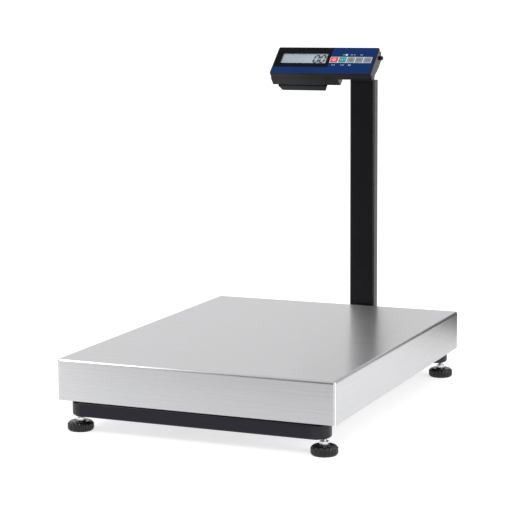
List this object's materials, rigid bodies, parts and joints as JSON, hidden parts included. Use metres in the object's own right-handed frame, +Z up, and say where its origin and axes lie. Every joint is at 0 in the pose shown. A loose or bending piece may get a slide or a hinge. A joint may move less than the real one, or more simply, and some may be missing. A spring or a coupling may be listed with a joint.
{
  "type": "platform scale",
  "caption": "Floor-standing platform scale: stainless pan on a tube base with levelling feet, and a tilting indicator head on a rear mast.",
  "frame": {"origin": "on the floor, below the middle of the whole scale's outline", "axes": "+Z up; +Y towards the mast at the back; +X to the right of a person facing the keys"},
  "size_m": [0.6, 0.869, 0.75],
  "materials": {
    "stainless_pan": "fine straight brushing, satin",
    "base_paint": "satin powder coat, near black",
    "frame_paint": "satin powder coat, dark grey",
    "mast_paint": "fine-textured charcoal powder coat",
    "zinc": "bright zinc plate",
    "black_steel": "black oxide",
    "alloy": "clear anodised",
    "steel": "bare machined steel",
    "knob_plastic": "moulded, satin",
    "cap_plastic": "moulded, satin",
    "rubber": "plain black rubber",
    "cable_jacket": "smooth dark grey jacket",
    "case_plastic": "fine spark texture",
    "overlay_blue": "satin polyester film, blue with a black display surround",
    "window_clear": "clear acrylic",
    "lcd_grey": "pale blue-grey reflective display",
    "board_green": "solder mask",
    "switch_black": "moulded",
    "battery_blue": "shrink wrap",
    "vial": "clear vial with green fluid",
    "key_red": "satin film",
    "key_teal": "satin film",
    "key_grey": "satin film"
  },
  "bodies": {
    "base": {"front_cross_tube": "base_paint", "rear_cross_tube": "base_paint", "base_rail_left": "base_paint", "base_rail_right": "base_paint", "mast_bracket": "base_paint", "base_plate": "frame_paint", "top_plate": "frame_paint", "top_rail_left": "frame_paint", "top_rail_right": "frame_paint", "top_cross_front": "frame_paint", "top_cross_rear": "frame_paint", "mast": "mast_paint", "tilt_bracket": "mast_paint", "overload_stops": "zinc", "mast_fasteners": "zinc", "load_cell_bolts": "black_steel", "bracket_screws": "black_steel", "load_cell": "alloy", "bubble_level_body": "alloy", "foot_bushes": "steel", "cell_spacers": "steel", "mast_sleeves": "steel", "tube_end_caps": "cap_plastic", "mast_bottom_cap": "cap_plastic", "mast_top_cap": "cap_plastic", "cable_bush": "cap_plastic", "tilt_screw": "cap_plastic", "rubber_buffers": "rubber", "cable_grommet": "rubber", "signal_cable": "cable_jacket", "bubble_level_vial": "vial"},
    "pan": {"platform_pan": "stainless_pan"},
    "foot_front_left": {"knob_front_left": "knob_plastic", "stud_front_left": "zinc", "lock_nut_front_left": "zinc"},
    "foot_front_right": {"knob_front_right": "knob_plastic", "stud_front_right": "zinc", "lock_nut_front_right": "zinc"},
    "foot_rear_left": {"knob_rear_left": "knob_plastic", "stud_rear_left": "zinc", "lock_nut_rear_left": "zinc"},
    "foot_rear_right": {"knob_rear_right": "knob_plastic", "stud_rear_right": "zinc", "lock_nut_rear_right": "zinc"},
    "head": {"front_case": "case_plastic", "rear_case": "case_plastic", "face_overlay": "overlay_blue", "display_window": "window_clear", "lcd_module": "lcd_grey", "main_board": "board_green", "key_switches": "switch_black", "battery_pack": "battery_blue", "battery_cover": "case_plastic", "case_screws": "black_steel", "power_jack": "cap_plastic"},
    "key_power_cap": {"key_power": "key_red"},
    "key_zero_cap": {"key_zero": "key_teal"},
    "key_tare_cap": {"key_tare": "key_grey"},
    "key_mode_cap": {"key_mode": "key_grey"},
    "key_enter_cap": {"key_enter": "key_grey"}
  },
  "joints": [
    {"name": "pan_lift", "type": "slide", "parent": "base", "child": "pan", "axis": [0, 0, 1], "range_m": [0, 0.12]},
    {"name": "foot_height_front_left", "type": "slide", "parent": "base", "child": "foot_front_left", "axis": [0, 0, 1], "range_m": [-0.012, 0.006]},
    {"name": "foot_height_front_right", "type": "slide", "parent": "base", "child": "foot_front_right", "axis": [0, 0, 1], "range_m": [-0.012, 0.006]},
    {"name": "foot_height_rear_left", "type": "slide", "parent": "base", "child": "foot_rear_left", "axis": [0, 0, 1], "range_m": [-0.012, 0.006]},
    {"name": "foot_height_rear_right", "type": "slide", "parent": "base", "child": "foot_rear_right", "axis": [0, 0, 1], "range_m": [-0.012, 0.006]},
    {"name": "head_tilt", "type": "hinge", "parent": "base", "child": "head", "pos_m": [0.0425, 0.4255, 0.725], "axis": [1, 0, 0], "range_deg": [-25, 3]},
    {"name": "key_press_power", "type": "slide", "parent": "head", "child": "key_power_cap", "axis": [0, 0.6756, -0.7373], "range_m": [0, 0.0005], "stiffness_N_per_m": 3000, "springref_m": -0.0003},
    {"name": "key_press_zero", "type": "slide", "parent": "head", "child": "key_zero_cap", "axis": [0, 0.6756, -0.7373], "range_m": [0, 0.0005], "stiffness_N_per_m": 3000, "springref_m": -0.0003},
    {"name": "key_press_tare", "type": "slide", "parent": "head", "child": "key_tare_cap", "axis": [0, 0.6756, -0.7373], "range_m": [0, 0.0005], "stiffness_N_per_m": 3000, "springref_m": -0.0003},
    {"name": "key_press_mode", "type": "slide", "parent": "head", "child": "key_mode_cap", "axis": [0, 0.6756, -0.7373], "range_m": [0, 0.0005], "stiffness_N_per_m": 3000, "springref_m": -0.0003},
    {"name": "key_press_enter", "type": "slide", "parent": "head", "child": "key_enter_cap", "axis": [0, 0.6756, -0.7373], "range_m": [0, 0.0005], "stiffness_N_per_m": 3000, "springref_m": -0.0003}
  ]
}
